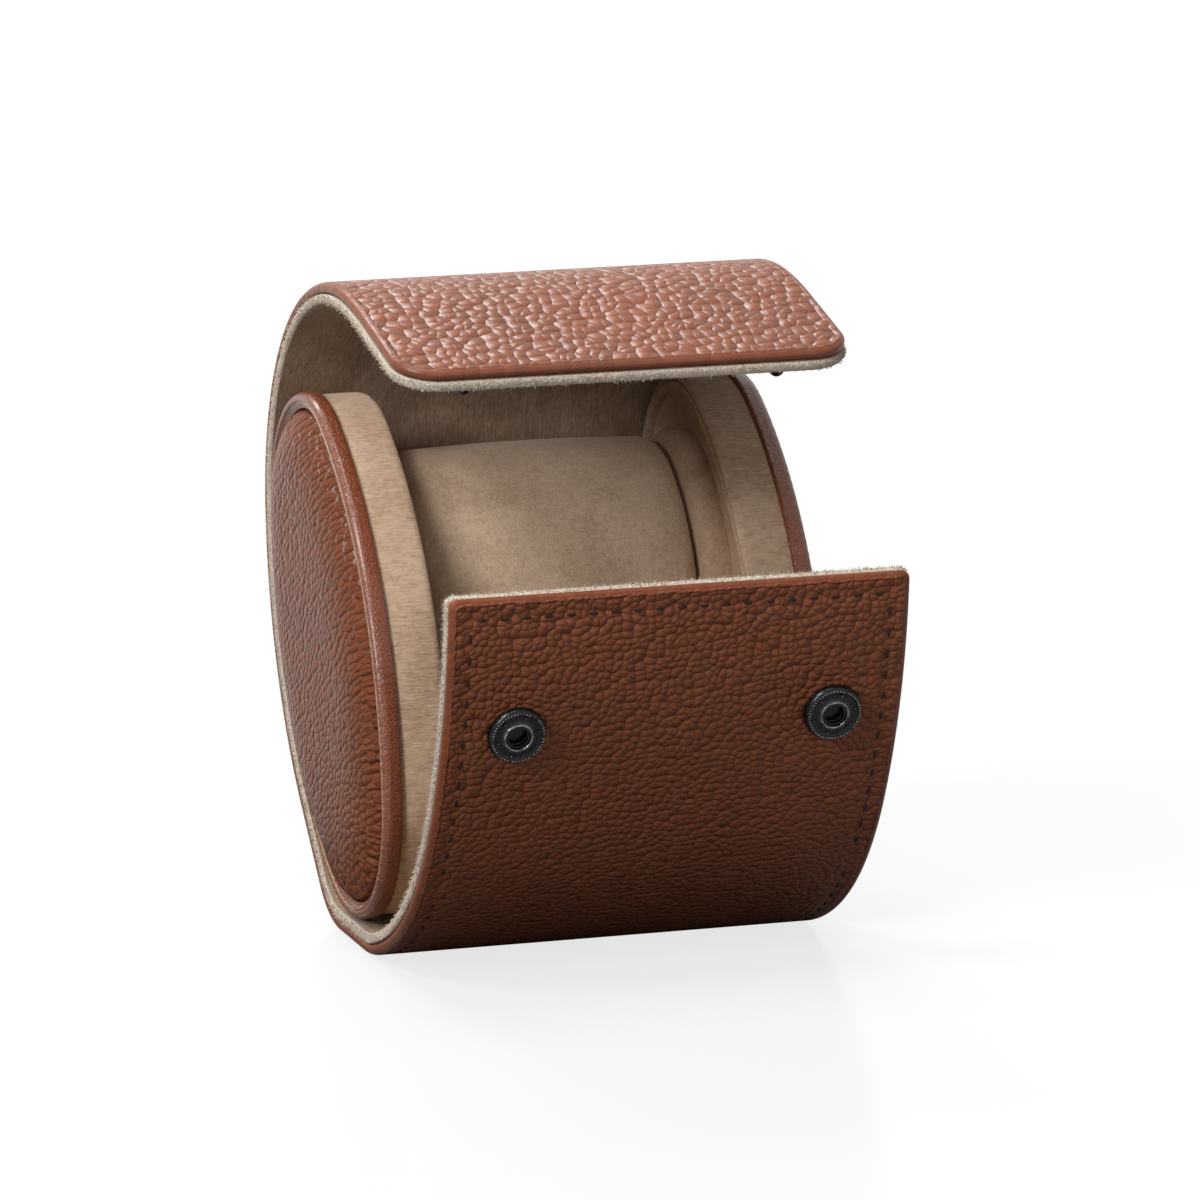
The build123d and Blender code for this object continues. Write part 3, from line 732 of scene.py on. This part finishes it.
# Stitching: waxed dark brown thread in a row 4 mm in from the sides and top of the front. Each stitch
# bulges in the middle and dives into its two needle holes in the shallow valley beside the turned edge.

stitch_length = 2.4
stitch_pitch = 4.1
stitch_width = 0.62
stitch_flatness = 0.7
stitch_inset = 4.0
stitch_depth = 0.12
stitch_dive = 0.42
thread_dark = (0.008, 0.004, 0.003, 1.0)
thread_light = (0.03, 0.012, 0.008, 1.0)

thread, tree, shader = blank_material("thread")
twist = noise(tree, in_millimetres(tree), scale=4.0, detail=1.0)
set_inputs(tree, shader, {"Base Color": mix_colour(tree, twist, thread_dark, thread_light), "Roughness": 0.7,
                          "Specular IOR Level": 0.2})


def stitches(name, rows, material):
    """Rounded stitches. Rows is a list of (distance, x, along): each stitch is a spindle whose middle stands
    proud of the leather and whose ends sink into it."""
    around = np.linspace(0, 2 * np.pi, 8, endpoint=False)
    length = np.linspace(-1, 1, 9)
    girth = np.sqrt(np.clip(1 - length ** 4, 0, 1))
    dive = stitch_depth + stitch_dive * length[:, None] ** 2
    points, faces = [], []
    for count, (distance, x, along) in enumerate(rows):
        run = length[:, None] * stitch_length / 2 + 0 * around
        side = girth[:, None] * np.cos(around) * stitch_width / 2
        depth = dive - girth[:, None] * np.sin(around) * stitch_width / 2 * stitch_flatness
        place_x, place_s = (x + side, distance + run) if along else (x + run, distance + side)
        points.append(in_space(place_x, on_wrap(place_s, depth)))
        faces.append(grid_faces(len(length), len(around), count * run.size, ring=True))
    return make_piece(name, np.vstack(points), faces, material)


def side_rows(first, last):
    """Stitches up both sides between two distances, as many as fit, centred."""
    count = int((last - first) / stitch_pitch)
    start = first + ((last - first) - count * stitch_pitch) / 2
    return [(start + stitch_pitch * i, side * (wrap_half - stitch_inset), True)
            for i in range(count + 1) for side in (-1, 1)]


top_count = int((2 * wrap_half - 2 * stitch_inset - stitch_pitch) / stitch_pitch)
top_row = [(stitch_inset, (i - top_count / 2) * stitch_pitch, False) for i in range(top_count + 1)]
panel_rows = top_row + side_rows(stitch_inset + stitch_pitch / 2, panel_fold - stitch_pitch)
lower_rows = side_rows(panel_fold + stitch_pitch, lower_fold - stitch_pitch)
for body_a, body_b, fold, rows in (("front_panel", "front_lower", panel_fold, panel_rows),
                                   ("front_lower", "back", lower_fold, lower_rows)):
    sewn = stitches(body_a + "_thread", rows, thread)
    bend(sewn, fold, body_a, body_b)
    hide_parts(body_a + "_stitching")


# End caps: two oval drums glued into the wrap. Outside is a pebbled, foam-padded panel in a rolled
# leather rim; the side is a band of suede; inside a padded suede roll frames a dished face with a boss
# that the cushion's end lies against.


def oval_line(oval, share, inset):
    """Points of an oval of four tangent arcs, y + z j. Share runs once round the outline from its top; the
    arcs keep their centres, and an inset shortens their radii."""
    centre, length, width, end_radius = oval
    reach = length / 2 - end_radius
    rise = width / 2 - end_radius
    drop = (reach ** 2 - rise ** 2) / (2 * rise)
    side_radius = drop + width / 2
    corner = math.atan2(drop, reach)
    turns = np.array([0, corner, np.pi - corner, np.pi + corner, 2 * np.pi - corner, 2 * np.pi])
    radii = np.array([end_radius, side_radius, end_radius, side_radius, end_radius])
    marks = np.concatenate([[0], np.cumsum(np.diff(turns) * radii)])
    angle = np.interp(np.asarray(share) * marks[-1], marks, turns)
    arc = np.clip(np.searchsorted(turns, angle, side="right") - 1, 0, 4)
    ups = np.array([reach, 0, -reach, 0, reach])[arc]
    backs = np.array([0, -drop, 0, drop, 0])[arc]
    radius = radii[arc] - inset
    return centre + (ups + radius * np.cos(angle)) * lean_up + (backs + radius * np.sin(angle)) * lean_back


def smooth_profile(marks, steps):
    """A curve that rounds off a line of marks: each stretch is a parabola from midpoint to midpoint."""
    marks = np.array(marks, float)
    marks = np.vstack([2 * marks[:1] - marks[1:2], marks, 2 * marks[-1:] - marks[-2:-1]])
    t = np.linspace(0, 1, steps, endpoint=False)[:, None, None]
    first, middle, last = marks[:-2], marks[1:-1], marks[2:]
    curve = 0.5 * (1 - t) ** 2 * first + (0.5 + t * (1 - t)) * middle + 0.5 * t ** 2 * last
    return np.vstack([curve.transpose(1, 0, 2).reshape(-1, 2), (marks[-2] + marks[-1]) / 2])


cap_oval = (cap_centre, cap_length, cap_width, cap_end_radius)
cap_outer = wrap_half - 0.2
cap_inner = cap_outer - 13.0
cap_seam = cap_outer - 3.5
rim_width = 3.2
hoop_inset = 0.9
ring_radius = 41.5
plate_middle = 15.0
cap_shares = np.linspace(0, 1, 720, endpoint=False)


def oval_ring(name, oval, profile, material, shares, push=None):
    """A closed profile of (inset, x) carried round an oval. Push adds to x at each share and inset. Place
    wraps the way round on to a circle of the same length, the ring's radius, so that the grain has no seam;
    its third number runs along the profile."""
    inset, x = profile[:, :1], profile[:, 1:]
    grid_share = shares[None, :] + 0 * inset
    grid_x = x + 0 * grid_share
    if push:
        grid_x = grid_x + push(grid_share, inset + 0 * grid_share)
    points = in_space(grid_x, oval_line(oval, grid_share, inset))
    rows, columns = grid_x.shape
    first = np.arange(columns)
    last = (rows - 1) * columns + first
    faces = [grid_faces(rows, columns, ring=True),
             np.stack([last, np.roll(last, -1), np.roll(first, -1), first], -1)]
    along = np.concatenate([[0], np.cumsum(np.hypot(*np.diff(profile, axis=0).T))])[:, None]
    angle = 2 * np.pi * grid_share
    place = np.stack([ring_radius * np.cos(angle), ring_radius * np.sin(angle), along + 0 * angle], -1)
    return make_piece(name, points, faces, material, place.reshape(-1, 3))


def oval_plate(name, oval, profile, back_x, material, shares, push=None):
    """A padded plate: the profile of (inset, x) from the outline to an inner ring, then rings that shrink
    towards the middle, whose inset counts as the plate middle's, closed by a flat back."""
    inset, x = profile[:, :1], profile[:, 1:]
    shrink = np.linspace(1, 0, 16)[1:, None]
    grid_share = shares[None, :] + 0 * inset
    outer = oval_line(oval, grid_share, inset)
    middle = oval[0] + (outer[-1] - oval[0]) * shrink
    spot = np.vstack([outer, middle])
    pushed = push(grid_share, inset + 0 * grid_share) if push else 0 * grid_share
    grid_x = np.vstack([x + pushed, x[-1] + pushed[-1] * shrink])
    grid_inset = np.vstack([inset + 0 * grid_share, plate_middle + 0 * middle.real])
    front = in_space(grid_x, spot)
    rows, columns = grid_x.shape
    back_spot = np.vstack([outer[:1], oval[0] + (outer[0] - oval[0]) * np.linspace(1, 0, 4)[1:, None]])
    back = in_space(back_x, back_spot)
    first = np.arange(columns)
    under = first + rows * columns
    faces = [grid_faces(rows, columns, ring=True), grid_faces(len(back_spot), columns, under[0], ring=True),
             np.stack([first, np.roll(first, -1), np.roll(under, -1), under], -1)]
    flat_spot = (spot - oval[0]) * lean_up.conjugate()
    place = np.stack([flat_spot.imag, flat_spot.real, grid_inset], -1).reshape(-1, 3)
    return make_piece(name, np.vstack([front, back]), faces, material, np.vstack([place, 0 * back]))


def mirrored(piece, name):
    """A left-hand copy of a right-hand piece, mirrored in its mesh, with its faces turned right way out."""
    mesh = piece.data.copy()
    mesh.transform(((-1, 0, 0, 0), (0, 1, 0, 0), (0, 0, 1, 0), (0, 0, 0, 1)))
    mesh.flip_normals()
    return add_object(name, mesh)


gather = np.random.default_rng(7)
gather_counts = np.arange(80, 200)
gather_phases = gather.uniform(0, 2 * np.pi, gather_counts.size)
gather_sizes = gather.uniform(0.4, 1.0, gather_counts.size) / np.sqrt(gather_counts.size / 2)


def ripple(share):
    """Uneven waves round the oval, about -1 to 1: sines of 80 to 199 waves with drawn phases and sizes."""
    angle = 2 * np.pi * np.asarray(share)[..., None] * gather_counts + gather_phases
    return (np.sin(angle) * gather_sizes).sum(-1)


def bottom_weight(share):
    """1 at the lower end of the oval, 0 from its sides up."""
    return np.clip(-np.cos(2 * np.pi * share) * 1.25 - 0.1, 0, 1)


gather_fade = 3.2
gather_height = (0.06, 0.3)


def gathered(share, inset):
    """How far the panel's hide puckers where it is pulled over the foam, most at the lower end; it dies out
    away from the rim."""
    fade = np.exp(-np.clip(inset - rim_width, 0, None) / gather_fade)
    height = gather_height[0] + gather_height[1] * bottom_weight(share)
    return ripple(share + 0.0006 * inset) * fade * height


panel_top = 46.0
panel_foot = cap_seam + 2.0
panel_start = rim_width + 0.05
panel_reach = 17.0
panel_swell = (3.0, 1 / 1.7)
swell = np.linspace(0, 1, 40) ** 1.6
panel_height = (1 - (1 - swell) ** panel_swell[0]) ** panel_swell[1]
panel_profile = np.stack([panel_start + panel_reach * swell,
                          panel_foot + (panel_top - panel_foot) * panel_height], -1)

# Its second colour is painted shade for the creases; its glints put a painted glint coat on the panel's upper
# part.
cap_leather = grained_leather("cap_leather", (0.172, 0.05, 0.02, 1.0), (0.1, 0.026, 0.01, 1.0),
                              (0.16, 0.043, 0.018, 1.0), (3.2, 4.3), 1.42, 0.09, 0.62,
                              (-25.0, 40.0, 0.0, -90.0))

rim_profile = smooth_profile([(rim_width, cap_seam + 0.1), (rim_width, cap_seam + 1.2),
                              (rim_width - 0.05, 41.75), (rim_width - 0.4, 42.15), (2.55, 41.95), (2.1, 42.3),
                              (1.4, 42.85), (0.65, cap_outer + 0.1), (0.02, 41.9), (-0.02, 40.8),
                              (0.0, cap_seam + 0.3), (0.35, cap_seam), (rim_width, cap_seam)], 5)

rim_crest = 1.4
rim_crest_width = 1.3
wrinkle_height = (0.03, 0.08)


def rim_creases(share, inset):
    """Fine cross wrinkles in the hide that is bent round the rim, deepest over its crest: the waves times a
    bell shape across the rim."""
    crest = np.exp(-((inset - rim_crest) / rim_crest_width) ** 2)
    height = wrinkle_height[0] + wrinkle_height[1] * bottom_weight(share)
    return ripple(share + 0.001 * inset) * crest * height


rim_dark = (0.11, 0.026, 0.01, 1.0)
rim_light = (0.27, 0.072, 0.028, 1.0)
rim_hide, tree, shader = blank_material("rim_hide")
place = hide_place(tree)
creases = noise(tree, vectors(tree, "MULTIPLY", place, (1.0, 1.0, 0.3)), scale=1.3, detail=5.0, roughness=0.6)
rim_grain = node(tree, "TexVoronoi", {"Vector": place, "Scale": 1.4}, feature="DISTANCE_TO_EDGE").outputs[0]
rim_grain = smooth_step(tree, rim_grain, 0.0, 0.25)
height = plus(tree, times(tree, creases, 0.8), times(tree, rim_grain, 0.3))
set_inputs(tree, shader, {"Base Color": mix_colour(tree, creases, rim_dark, rim_light), "Roughness": 0.24,
                          "Specular IOR Level": 0.3, "Coat Weight": 0.35, "Coat Roughness": 0.2,
                          "Normal": bumped(tree, height, 0.2)})

soft_suede = suede("cap_suede", suede_light, suede_dark, flat=False)
band_suede = suede("band_suede", suede_light, suede_dark, streak=(1.0, 1.0, 0.12), relief=0.26)
cushion_suede = suede("cushion_suede", (0.66, 0.49, 0.35, 1.0), (0.42, 0.29, 0.19, 1.0), flat=False)

gusset_profile = smooth_profile([(hoop_inset, cap_seam + 0.1), (0.75, cap_seam - 0.6), (0.6, cap_seam - 3.0),
                                 (0.6, cap_inner + 2.4), (0.66, cap_inner + 1.2), (1.1, cap_inner + 0.3),
                                 (1.7, cap_inner + 0.25), (1.8, cap_inner + 1.0), (1.8, cap_inner + 2.4),
                                 (1.8, cap_seam)], 5)
lip_profile = smooth_profile([(1.95, cap_inner + 2.6), (1.85, cap_inner + 1.2), (1.9, cap_inner + 0.4),
                              (2.2, cap_inner), (2.7, cap_inner), (3.2, cap_inner + 0.4),
                              (3.5, cap_inner + 1.4), (3.5, cap_inner + 2.6)], 5)
face_x = cap_inner + 2.0
face_profile = smooth_profile([(3.3, face_x - 0.4), (4.2, face_x - 0.45), (5.5, face_x - 0.2), (7.5, face_x),
                               (12.0, face_x)], 4)

cushion_length = 56.0
cushion_width = 42.0
cushion_end_radius = 19.0
cushion_centre = cap_centre + lean_up * 11.5 + lean_back * 3.0
cushion_oval = (cushion_centre, cushion_length, cushion_width, cushion_end_radius)
boss_grow = 0.8
boss_height = 5.3
boss_tip = face_x - boss_height
boss_oval = (cushion_centre, cushion_length + 2 * boss_grow, cushion_width + 2 * boss_grow,
             cushion_end_radius + boss_grow)
boss_profile = smooth_profile([(0.0, face_x), (-0.05, face_x - 1.2), (0.1, face_x - 2.8),
                               (1.1, boss_tip + 0.8), (3.0, boss_tip + 0.05), (6.0, boss_tip),
                               (12.0, boss_tip)], 5)

right_pieces = {
    "panel": (oval_plate("right_cap_panel", cap_oval, panel_profile, cap_seam, cap_leather, cap_shares,
                         gathered), "grain_leather", ["panel_leather", "panel_padding"]),
    "rim": (oval_ring("right_cap_rim", cap_oval, rim_profile, rim_hide, cap_shares, rim_creases),
            "rim_leather", ["rim_leather", "rim_cord"]),
    "gusset": (oval_ring("right_cap_gusset", cap_oval, gusset_profile, band_suede, cap_shares),
               "suede", ["gusset_suede"]),
    "lip": (oval_ring("right_cap_lip", cap_oval, lip_profile, band_suede, cap_shares),
            "suede", ["inner_lip"]),
    "face": (oval_plate("right_cap_face", cap_oval, face_profile, face_x + 0.8, soft_suede, cap_shares[::2]),
             "suede", ["face_lining"]),
    "boss": (oval_plate("right_cap_boss", boss_oval, boss_profile, face_x, soft_suede, cap_shares[::2]),
             "suede", ["boss_cover", "boss_foam"]),
}
for part, (right_piece, slot_name, stands_for) in right_pieces.items():
    left_piece = mirrored(right_piece, "left_cap_" + part)
    for side, made in (("right", right_piece), ("left", left_piece)):
        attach(made, "back")
        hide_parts(*["%s_cap_%s" % (side, n) for n in stands_for])


# The cushion: a foam sleeve in a suede cover, fullest in the middle and rounded over at its ends, where
# the cover is gathered round an oval disc.

cushion_half = boss_tip - 0.3
cushion_round = 3.6
cushion_crown = 0.8
pucker_depth = 0.12
pucker_reach = 4.0
end_steps = np.array([0.4, 1.2, 2.2, 3.4, 5.0]) / cushion_half
stations_x = np.concatenate([[-1.0], end_steps - 1, np.linspace(-0.78, 0.78, 40), 1 - end_steps[::-1], [1.0]])


def cushion_surface():
    """A tube of ovals along X: the inset grows with the square of the distance from the middle, and with a
    quarter circle over each rounded end, where small puckers fade in; then the end closes to its middle."""
    from_end = cushion_half * (1 - np.abs(stations_x))
    rounding = cushion_round - np.sqrt(np.clip(cushion_round ** 2 - (cushion_round - from_end) ** 2, 0, None))
    rounding = np.where(from_end < cushion_round, rounding, 0)
    inset = (rounding + cushion_crown * stations_x ** 2)[:, None]
    shares = np.linspace(0, 1, 240, endpoint=False)[None, :]
    pucker = pucker_depth * np.exp(-from_end[:, None] / pucker_reach) * ripple(shares * 0.7)
    spot = oval_line(cushion_oval, shares + 0 * inset, inset + pucker)
    x = (stations_x * cushion_half)[:, None] + 0 * spot.real
    closing = np.linspace(1, 0, 8)[1:, None]
    low = cushion_centre + (spot[0] - cushion_centre) * closing[::-1]
    high = cushion_centre + (spot[-1] - cushion_centre) * closing
    spot = np.vstack([low, spot, high])
    x = np.vstack([x[:1] + 0 * low.real, x, x[-1:] + 0 * high.real])
    return make_piece("cushion_pad", in_space(x, spot), [grid_faces(*x.shape, ring=True)], cushion_suede)


cushion = cushion_surface()
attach(cushion, "cushion")
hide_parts("cushion_cover", "cushion_foam", "cushion_end_discs")


# Snap fasteners: black-plated brass. Each socket on the panel is a low ring with a beaded rim, six pips
# and a second, finer row of beads round its hole; it is riveted through the leather.

gunmetal, tree, shader = blank_material("gunmetal")
bead_tops = (1.7, 1.82)
scuffs = noise(tree, in_millimetres(tree), scale=0.9)
plating = mix_colour(tree, scuffs, (0.007, 0.007, 0.008, 1.0), (0.025, 0.025, 0.027, 1.0))
# The bead tops are lighter: partly rubbed plating, partly painted highlight on the beads.
on_beads = smooth_step(tree, axis_of(tree, hide_place(tree), "Z"), *bead_tops)
wear_and_painted_highlight = times(tree, on_beads, smooth_step(tree, scuffs, 0.3, 0.6))
set_inputs(tree, shader, {"Base Color": mix_colour(tree, wear_and_painted_highlight, plating, (0.17, 0.17, 0.175, 1.0)),
                          "Roughness": levels(tree, scuffs, gain=0.2, base=0.14), "Metallic": 0.8})

snap_x = wrap_half - 13.5
snap_distance = 26.0
socket_profile = smooth_profile([(0.0, 0.06), (1.9, 0.06), (2.2, 0.1), (2.3, 0.8), (2.22, 1.55), (2.35, 1.95),
                                 (2.6, 2.0), (2.8, 1.72), (3.1, 1.42), (4.1, 1.42), (4.35, 1.5), (4.7, 1.62),
                                 (5.1, 1.35), (5.4, 0.6), (5.4, 0.0), (4.6, 0.0), (0.0, 0.0)], 4)


def bead_ring(radius, height, size, count, turn=0.0):
    """Small round beads in a ring: points on each bead's sphere, and its quads."""
    lat = np.linspace(-np.pi / 2, np.pi / 2, 5)
    lon = np.linspace(0, 2 * np.pi, 8, endpoint=False)
    ball = size * np.stack([np.cos(lat)[:, None] * np.cos(lon), np.cos(lat)[:, None] * np.sin(lon),
                            np.sin(lat)[:, None] + 0 * lon], -1).reshape(-1, 3)
    angle = turn + 2 * np.pi * np.arange(count) / count
    centre = np.stack([radius * np.cos(angle), radius * np.sin(angle), height + 0 * angle], -1)
    points = (centre[:, None, :] + ball).reshape(-1, 3)
    faces = [grid_faces(5, 8, i * 40, ring=True) for i in range(count)]
    return points, faces


snap_beads = [(4.72, 1.6, 0.25, 52), (2.92, 1.62, 0.17, 36), (3.85, 1.5, 0.3, 6, 0.26)]


def snap_sockets():
    """Two sockets standing on the panel's leather: a lathed profile and its rings of beads. Place is a
    point's place on its own socket."""
    turns = np.linspace(0, 2 * np.pi, 72, endpoint=False)
    radius, high = socket_profile[:, :1], socket_profile[:, 1:]
    lathe = np.stack([radius * np.cos(turns), radius * np.sin(turns), high + 0 * turns], -1)
    parts = [(lathe.reshape(-1, 3), [grid_faces(*lathe.shape[:2], ring=True)])]
    parts += [bead_ring(*beads) for beads in snap_beads]
    foot = on_wrap(np.array(snap_distance), 0.0)
    heading = heading_at(np.array(snap_distance))
    points, faces, places, start = [], [], [], 0
    for x in (-snap_x, snap_x):
        for local, quads in parts:
            points.append(in_space(x + local[:, 0], foot - heading * (local[:, 1] + 1j * local[:, 2])))
            faces += [q + start for q in quads]
            places.append(local)
            start += len(local)
    return make_piece("snap_socket_rings", np.vstack(points), faces, gunmetal, np.vstack(places))


sockets = snap_sockets()
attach(sockets, "front_panel")
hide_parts("panel_snap_sockets")
for name in ("panel_snap_springs", "panel_snap_rivets", "flap_snap_studs", "flap_snap_rivets"):
    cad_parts[name].data.materials.clear()
    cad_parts[name].data.materials.append(gunmetal)


# Boards and hoops: grey-brown fibre board inside the wrap and the caps, hidden but for a thin line.

fibre_dark = (0.05, 0.035, 0.025, 1.0)
fibre_light = (0.12, 0.085, 0.06, 1.0)
fibre, tree, shader = blank_material("fibre_board")
flecks = noise(tree, in_millimetres(tree), scale=0.7)
set_inputs(tree, shader, {"Base Color": mix_colour(tree, flecks, fibre_dark, fibre_light), "Roughness": 0.85})
for name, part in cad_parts.items():
    if name.endswith("board") or name.endswith("hoop"):
        part.data.materials.clear()
        part.data.materials.append(fibre)
